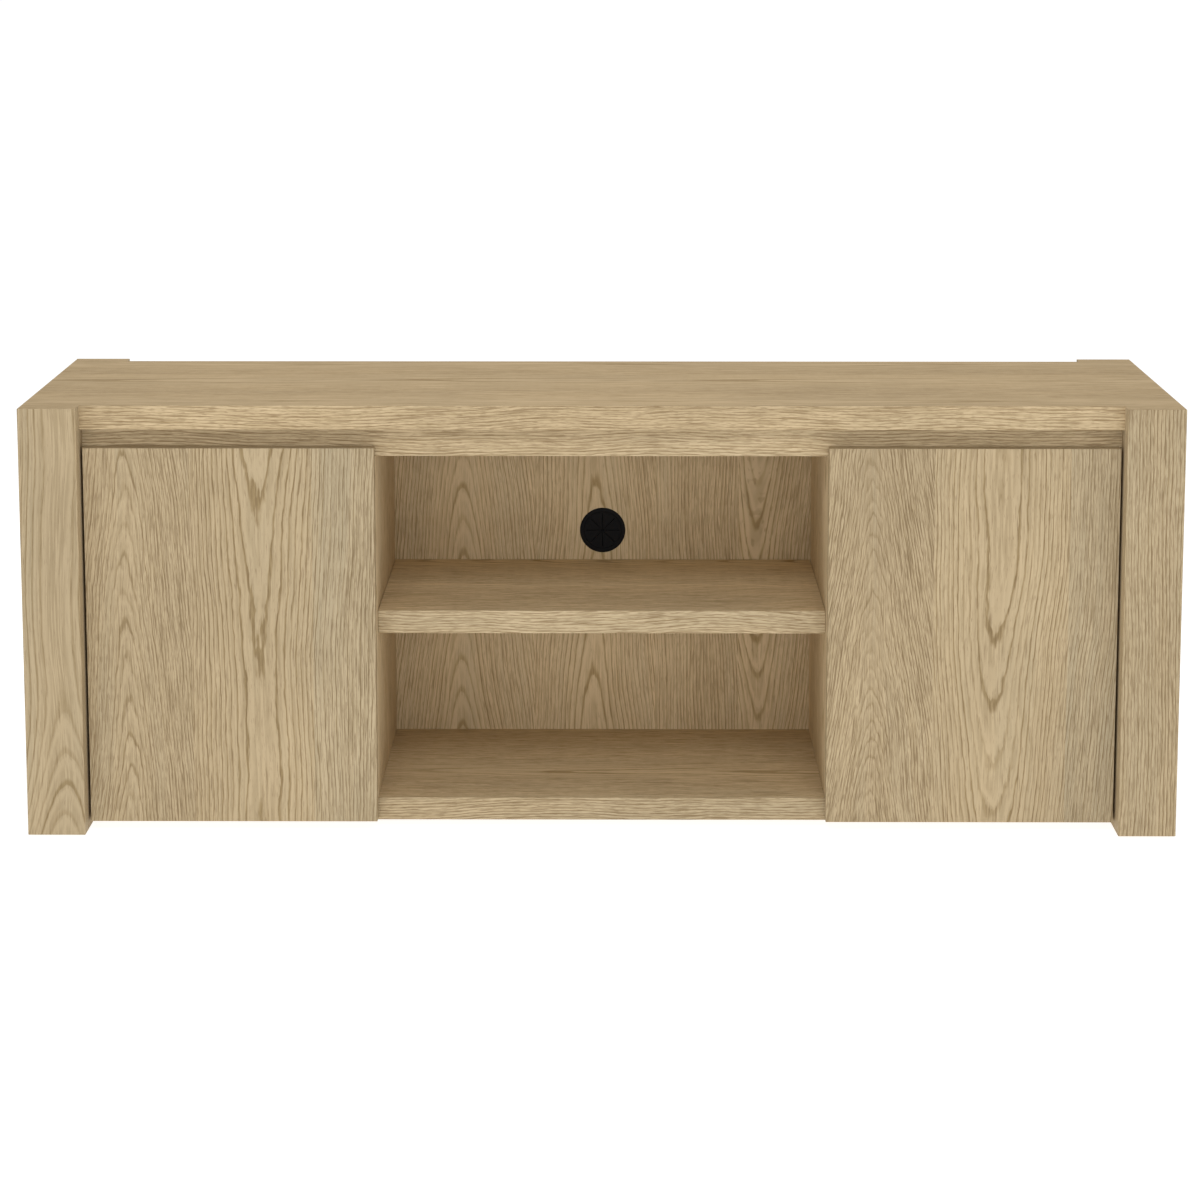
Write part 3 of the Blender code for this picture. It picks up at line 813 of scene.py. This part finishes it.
def lathe(name, profile, centre, axis, segments=48):
    """Turns a profile of (radius, height) pairs round an axis through a point.

    A profile starts and ends on the axis. One that starts off it is closed on itself, as a ring.
    """
    bm = bmesh.new()
    rings = []
    for radius, height in profile:
        count = segments if radius > 0 else 1
        angles = [math.tau * i / count for i in range(count)]
        rings.append([bm.verts.new((radius * math.cos(a), radius * math.sin(a), height)) for a in angles])
    pairs = list(zip(rings, rings[1:]))
    if profile[0][0] > 0:
        pairs.append((rings[-1], rings[0]))
    for first, second in pairs:
        for i in range(segments):
            # At the axis two corners are one, so the face is a triangle
            lower = first[i % len(first)], first[(i + 1) % len(first)]
            upper = second[(i + 1) % len(second)], second[i % len(second)]
            bm.faces.new(dict.fromkeys(lower + upper))
    bmesh.ops.recalc_face_normals(bm, faces=bm.faces)
    turn = Vector(axis).to_track_quat("Z", "Y").to_matrix().to_4x4()
    bmesh.ops.transform(bm, matrix=turn, verts=bm.verts)
    bmesh.ops.translate(bm, vec=centre, verts=bm.verts)
    return object_from(bm, name)


def prism(name, outline, low_z, high_z):
    """A flat outline in X and Y, made solid between two heights."""
    bm = bmesh.new()
    face = bm.faces.new([bm.verts.new((x, y, low_z)) for x, y in outline])
    top = bmesh.ops.extrude_face_region(bm, geom=[face])["geom"]
    top_verts = [v for v in top if isinstance(v, bmesh.types.BMVert)]
    bmesh.ops.translate(bm, vec=(0, 0, high_z - low_z), verts=top_verts)
    bmesh.ops.recalc_face_normals(bm, faces=bm.faces)
    return object_from(bm, name)


def soften(obj, width, segments=2, limit=60):
    """Rounds the edges that turn by more than a limit in degrees."""
    bm = bmesh.new()
    bm.from_mesh(obj.data)
    least = math.radians(limit)
    edges = [e for e in bm.edges if len(e.link_faces) == 2 and e.calc_face_angle() > least]
    bmesh.ops.bevel(
        bm, geom=edges, offset=width, segments=segments, profile=0.5, affect="EDGES", clamp_overlap=True
    )
    bm.to_mesh(obj.data)
    bm.free()


def finish_fitting(obj, body, slot, material, *nodes):
    """Smooth shading, material and body for a fitting, and the CAD nodes that it stands for. The slot is not
    used.
    """
    obj.data.shade_smooth()
    obj.data.set_sharp_from_angle(angle=math.radians(35))
    obj.data.materials.clear()
    obj.data.materials.append(material)
    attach(obj, body)
    if nodes:
        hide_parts(*nodes)


SCREW_RADIUS = 0.0031
SCREW_HEIGHT = 0.0013
# Radians that a screw is turned for each metre of its place, so that no two stand alike
SCREW_TURN = 97


def screw_mesh():
    """A pan head with a cross recess, its underside at the origin, facing +Z."""
    r, h = SCREW_RADIUS, SCREW_HEIGHT
    profile = [
        (0, 0), (0.93 * r, 0), (r, 0.12 * h), (r, 0.40 * h), (0.93 * r, 0.66 * h), (0.76 * r, 0.87 * h),
        (0.50 * r, 0.98 * h), (0, h),
    ]
    head = lathe("screw_head", profile, (0, 0, 0), (0, 0, 1), 32)
    arm, wide, floor = 0.52 * r, 0.14 * r, 0.30 * h
    recess_x = box_object("recess_x", (-arm, -wide, floor), (arm, wide, 2 * h))
    recess_y = box_object("recess_y", (-wide, -arm, floor), (wide, arm, 2 * h))
    carve(head, [recess_x, recess_y])
    mesh = head.data
    bpy.data.objects.remove(head, do_unlink=True)
    return mesh


def add_screw(name, mesh, place, axis, body, slot, material, size=1.0, flat=1.0):
    """A copy of the screw head at a place on a face, facing along an axis."""
    obj = add_to_scene(bpy.data.objects.new(name, mesh.copy()))
    turn = Vector(axis).to_track_quat("Z", "Y").to_matrix().to_4x4()
    spin = Matrix.Rotation(sum(place) * SCREW_TURN, 4, "Z")
    scale = Matrix.Diagonal((size, size, size * flat, 1))
    obj.data.transform(Matrix.Translation(place) @ turn @ spin @ scale)
    finish_fitting(obj, body, slot, material)


GROMMET_HOLE_RADIUS = 0.0265
GROMMET_LIP = 0.0015
GROMMET_BORE_RADIUS = 0.024
GROMMET_SLEEVE_RADIUS = 0.0262
# The membrane's front and back, from the lip's front, and the length and half width of its slits
MEMBRANE_FRONT, MEMBRANE_BACK = 0.0012, 0.0026
SLIT_REACH, SLIT_HALF = 0.0222, 0.0007


def make_grommet(boxes, rubber):
    """The black cable grommet: a lipped ring with a sleeve, and a membrane of eight flaps."""
    low, high = boxes["cable_grommet"]
    centre = middle((low, high))
    centre.y = 0
    outer, bore, sleeve = (high.x - low.x) / 2, GROMMET_BORE_RADIUS, GROMMET_SLEEVE_RADIUS
    front, panel, back = low.y, low.y + GROMMET_LIP, high.y
    profile = [
        (bore, front + 0.0012), (bore + 0.0003, front + 0.0005), (bore + 0.0010, front + 0.0001),
        (bore + 0.0018, front), (outer - 0.0020, front + 0.0001), (outer - 0.0008, front + 0.0004),
        (outer - 0.0002, front + 0.0009), (outer, front + 0.0014), (outer - 0.0001, panel), (sleeve, panel),
        (sleeve, back - 0.0004), (sleeve - 0.0004, back), (bore + 0.0003, back), (bore, back - 0.0004),
    ]
    ring = lathe("cable_grommet_ring", profile, centre, (0, 1, 0), 96)
    finish_fitting(ring, "root", "grommet_rubber", rubber, "cable_grommet")

    skin_front, skin_back = front + MEMBRANE_FRONT, front + MEMBRANE_BACK
    profile = [
        (0, skin_front + 0.0004), (0.010, skin_front + 0.0003), (0.020, skin_front),
        (bore + 0.0004, skin_front), (bore + 0.0004, skin_back), (0, skin_back),
    ]
    membrane = lathe("cable_grommet_membrane", profile, centre, (0, 1, 0), 96)
    slits = []
    for number in range(4):
        # A slit's walls close towards the back, so that no light shows through
        mouth, root = skin_front - 0.0002, skin_front + 0.0012
        outline = [(-SLIT_HALF, mouth), (SLIT_HALF, mouth), (0.00005, root), (-0.00005, root)]
        slit = prism(f"slit_{number}", outline, -SLIT_REACH, SLIT_REACH)
        turn = Matrix.Rotation(number * math.pi / 4, 4, "Y")
        slit.data.transform(Matrix.Translation(centre) @ turn)
        slits.append(slit)
    carve(membrane, slits)
    finish_fitting(membrane, "root", "grommet_rubber", rubber, "cable_grommet")


# Hinges. Distances are from the end panel's inner face, or back from the door's front face
CUP_FROM_PANEL = 0.0255
CUP_WALL = 0.0008
FLANGE_RADIUS = 0.0195
WING_HALF_WIDTH = 0.0075
CORNER_RADIUS = 0.005
CUP_SCREWS = 0.0245
PLATE_SCREWS = 0.017
PLATE_FROM_DOOR = (0.047, 0.061)
PLATE_THICKNESS = 0.0025
SPINE_WIDTH = 0.012
ARM_OUTER, ARM_INNER = 0.008, 0.012
ARM_BRIDGE = (0.0205, 0.0245)
ARM_END = 0.075
ARM_SCREWS = (0.035, 0.066)
ARM_SCREW_SIZE = 1.15
NOSE_CENTRE = (0.025, 0.012)
NOSE_RADIUS = 0.003
# The plate's outline is drawn in X and Y: this takes X to Y, Y to Z and the height to X
STAND_UP = Matrix(((0, 0, 1, 0), (1, 0, 0, 0), (0, 1, 0, 0), (0, 0, 0, 1)))


def rounded_rectangle(half_x, half_y, steps=5):
    """The outline of a rectangle with round corners, round the origin."""
    points = []
    for quarter, (sign_x, sign_y) in enumerate(((1, 1), (-1, 1), (-1, -1), (1, -1))):
        for step in range(steps + 1):
            angle = math.pi / 2 * (quarter + step / steps)
            x = sign_x * (half_x - CORNER_RADIUS) + CORNER_RADIUS * math.cos(angle)
            y = sign_y * (half_y - CORNER_RADIUS) + CORNER_RADIUS * math.sin(angle)
            points.append((x, y))
    return points


class Hinge:
    """What the parts of one concealed hinge share. Side is -1 on the left and 1 on the right."""

    def __init__(self, boxes, label, side, level, screw, nickel):
        self.name = f"{label}_{level}_hinge"
        self.door = f"{label}_door"
        self.side = side
        self.screw = screw
        self.nickel = nickel
        self.inner_x = min(abs(corner.x) for corner in boxes[f"{label}_end_panel"])
        self.door_front, self.door_back = (corner.y for corner in boxes[self.door])
        self.cup, self.arm, self.plate = (boxes[f"{self.name}_{part}"] for part in ("cup", "arm", "plate"))
        self.height = (self.cup[0].z + self.cup[1].z) / 2

    def spot(self, from_panel, from_door):
        """X and Y of a place beside the end panel."""
        return self.side * (self.inner_x - from_panel), self.door_front + from_door

    def finish(self, obj, part, body):
        finish_fitting(obj, body, "nickel_plate", self.nickel, f"{self.name}_{part}")

    def add_screws(self, part, places, axis, body, size=1.0):
        for number, place in enumerate(places, 1):
            name = f"{self.name}_{part}_screw_{number}"
            add_screw(name, self.screw, place, axis, body, "nickel_plate", self.nickel, size)


def make_hinge_cup(hinge):
    """The cup on the door: a drawn steel bowl with a rolled flange and two screw wings."""
    name, height = hinge.name, hinge.height
    low, high = hinge.cup
    cup_x = hinge.side * (hinge.inner_x - CUP_FROM_PANEL)
    base, top = hinge.door_back + CLEAR, high.y
    outer = CUP_RADIUS - CLEAR
    profile = [
        (0, low.y), (outer - 0.0015, low.y), (outer - 0.0004, low.y + 0.0004), (outer, low.y + 0.0015),
        (outer, base), (FLANGE_RADIUS - 0.0003, base), (FLANGE_RADIUS, base + 0.0003),
        (FLANGE_RADIUS - 0.0001, top - 0.0003), (FLANGE_RADIUS - 0.0005, top), (0, top),
    ]
    cup = lathe(f"{name}_cup_shell", profile, (cup_x, 0, height), (0, 1, 0), 64)
    wing = prism(f"{name}_wing", rounded_rectangle(WING_HALF_WIDTH, (high.z - low.z) / 2), 0, top - base)
    wing.data.transform(Matrix.Translation((cup_x, top, height)) @ Matrix.Rotation(math.pi / 2, 4, "X"))
    soften(wing, 0.0002, 1, 30)
    combine(cup, [wing], "UNION")
    inner, past = outer - CUP_WALL, top + 0.002
    profile = [
        (0, low.y + CUP_WALL), (inner - 0.0025, low.y + CUP_WALL), (inner - 0.0008, low.y + 0.0015),
        (inner, low.y + 0.0033), (inner, top - 0.0006), (inner + 0.0005, top + 0.0001),
        (inner + 0.0005, past), (0, past),
    ]
    carve(cup, [lathe(f"{name}_bowl", profile, (cup_x, 0, height), (0, 1, 0), 64)])
    hinge.finish(cup, "cup", hinge.door)
    places = [(cup_x, top, height + sign * CUP_SCREWS) for sign in (-1, 1)]
    hinge.add_screws("cup", places, (0, 1, 0), hinge.door)


def make_hinge_arm(hinge):
    """The arm: a bar beside the end panel, a bridge, and a round nose in the cup."""
    spot = hinge.spot
    nose_x, nose_y = NOSE_CENTRE
    bridge_front, bridge_back = ARM_BRIDGE
    outline = [
        spot(ARM_OUTER, ARM_END), spot(ARM_OUTER, bridge_front + 0.002),
        spot(ARM_OUTER + 0.0006, bridge_front + 0.0006), spot(ARM_OUTER + 0.002, bridge_front),
        spot(nose_x - NOSE_RADIUS, bridge_front),
    ]
    for step in range(13):
        angle = math.pi * (1 + step / 12)
        outline.append(spot(nose_x + NOSE_RADIUS * math.cos(angle), nose_y + NOSE_RADIUS * math.sin(angle)))
    outline += [
        spot(nose_x + NOSE_RADIUS, bridge_back - 0.001), spot(nose_x + NOSE_RADIUS - 0.001, bridge_back),
        spot(ARM_INNER, bridge_back), spot(ARM_INNER, ARM_END),
    ]
    low, high = hinge.arm
    arm = prism(f"{hinge.name}_arm_bar", outline, low.z, high.z)
    soften(arm, 0.0005)
    hinge.finish(arm, "arm", "root")
    places = [(*spot(ARM_INNER, from_door), hinge.height) for from_door in ARM_SCREWS]
    hinge.add_screws("arm", places, (-hinge.side, 0, 0), "root", ARM_SCREW_SIZE)


def make_hinge_plate(hinge):
    """The mounting plate: a cross-shaped base on the end panel, with the spine that the arm clips on."""
    name, side, height = hinge.name, hinge.side, hinge.height
    low, high = hinge.plate
    x_face, x_plate = side * (hinge.inner_x - CLEAR), side * (hinge.inner_x - CLEAR - PLATE_THICKNESS)
    base_y = [hinge.door_front + distance for distance in PLATE_FROM_DOOR]
    middle_y = sum(base_y) / 2
    outline = rounded_rectangle((base_y[1] - base_y[0]) / 2, (high.z - low.z) / 2)
    plate = prism(f"{name}_plate_base", outline, *sorted((x_face, x_plate)))
    plate.data.transform(Matrix.Translation((0, middle_y, height)) @ STAND_UP)
    soften(plate, 0.0004)
    x_low, x_high = sorted((x_face, low.x if side > 0 else high.x))
    z_low, z_high = height - SPINE_WIDTH / 2, height + SPINE_WIDTH / 2
    spine = box_object(f"{name}_spine", (x_low, low.y, z_low), (x_high, high.y, z_high))
    soften(spine, 0.0006)
    combine(plate, [spine], "UNION")
    hinge.finish(plate, "plate", "root")
    places = [(x_plate, middle_y, height + sign * PLATE_SCREWS) for sign in (-1, 1)]
    hinge.add_screws("plate", places, (-side, 0, 0), "root")


def make_hinges(boxes, screw, nickel):
    for label, side in SIDES:
        for level in ("lower", "upper"):
            hinge = Hinge(boxes, label, side, level, screw, nickel)
            make_hinge_cup(hinge)
            make_hinge_arm(hinge)
            make_hinge_plate(hinge)


# Half the peg's length, its collar's radius, the glide's foot and pin heights, and the cam's face
PEG_HALF = 0.0080
COLLAR_RADIUS = 0.0035
GLIDE_FOOT = 0.0027
GLIDE_PIN_TOP = 0.0140
CAM_FACE_RADIUS = 0.0068
CAM_FACE_FLATNESS = 0.25


def make_peg(name, box, zinc):
    """A shelf peg with a thin collar. Its pin enters the board on the side away from the shelf."""
    centre = middle(box)
    into = 1 if ("outer" in name) == (centre.x > 0) else -1
    r, collar = PEG_RADIUS, COLLAR_RADIUS
    profile = [
        (0, -PEG_HALF), (r - 0.0009, -PEG_HALF), (r - 0.0002, -0.0077), (r, -0.0070), (r, -0.0016),
        (0.0030, -0.0014), (0.0034, -0.0011), (collar, -0.0007), (0.0034, -CLEAR), (r, -CLEAR),
        (r, 0.0072), (r - 0.0006, PEG_HALF), (0, PEG_HALF),
    ]
    peg = lathe(f"{name}_pin", profile, centre, (into, 0, 0), 32)
    finish_fitting(peg, "root", "zinc_fitting", zinc, name)


def make_bumper(name, box, material):
    """A clear domed dot on the back of a door."""
    low, high = box
    centre = middle(box)
    r, t = (high.x - low.x) / 2, high.y - low.y
    profile = [
        (0, 0), (r - 0.0002, 0), (r, 0.0001), (0.97 * r, 0.35 * t), (0.86 * r, 0.68 * t),
        (0.66 * r, 0.90 * t), (0.35 * r, 0.99 * t), (0, t),
    ]
    dot = lathe(f"{name}_dot", profile, (centre.x, low.y, centre.z), (0, 1, 0), 40)
    finish_fitting(dot, name.split("_")[0] + "_door", "clear_bumper", material, name)


def make_glide(name, box, plastic):
    """A round foot with a pin that goes up into the end panel."""
    low, high = box
    centre = middle(box)
    r, h, pin = (high.x - low.x) / 2, GLIDE_FOOT, GLIDE_PIN_RADIUS
    profile = [
        (0, 0), (0.70 * r, 0), (0.86 * r, 0.0003), (0.96 * r, 0.0009), (r, 0.0017), (0.99 * r, 0.0023),
        (0.95 * r, h), (pin, h), (pin, GLIDE_PIN_TOP - 0.0015), (0, GLIDE_PIN_TOP),
    ]
    foot = lathe(f"{name}_foot", profile, (centre.x, centre.y, 0), (0, 0, 1), 48)
    finish_fitting(foot, "root", "glide_plastic", plastic, name)


def make_cam_face(name, box, screw, zinc):
    """The low cross-recessed face of a cam, on the end that shows."""
    centre = middle(box)
    place, size = (centre.x, centre.y, box[0].z), CAM_FACE_RADIUS / SCREW_RADIUS
    add_screw(f"{name}_face", screw, place, (0, 0, -1), "root", "zinc_fitting", zinc, size, CAM_FACE_FLATNESS)


def make_small_fittings(boxes, finishes, screw):
    for name, box in boxes.items():
        if name.endswith("_peg"):
            make_peg(name, box, finishes["zinc"])
        elif name.endswith("_bumper"):
            make_bumper(name, box, finishes["bumper"])
        elif name.endswith("_glide"):
            make_glide(name, box, finishes["plastic"])
        elif name.endswith("_cam"):
            make_cam_face(name, box, screw, finishes["zinc"])


def main():
    """The studio, and every piece on the frame. Cams and cam bolts keep their frame meshes."""
    make_camera()
    make_floor()
    make_light()
    finishes = {
        "nickel": metal_material("nickel_plate", (0.62, 0.61, 0.58), 0.22),
        "zinc": metal_material("zinc_fitting", (0.52, 0.53, 0.54), 0.38),
        "rubber": moulded_material("grommet_rubber", (0.0035, 0.0035, 0.0045), 0.60, specular=0.18),
        "bumper": moulded_material("clear_bumper", (0.62, 0.62, 0.60), 0.25),
        "plastic": moulded_material("glide_plastic", (0.10, 0.07, 0.045), 0.40),
    }
    boxes = {name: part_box(name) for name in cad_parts}
    make_boards(oak_material(), boxes)
    make_grommet(boxes, finishes["rubber"])
    screw = screw_mesh()
    make_hinges(boxes, screw, finishes["nickel"])
    make_small_fittings(boxes, finishes, screw)
    for name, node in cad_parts.items():
        if name.endswith(("_cam", "_cam_bolt")):
            node.data.materials.clear()
            node.data.materials.append(finishes["zinc"])


main()
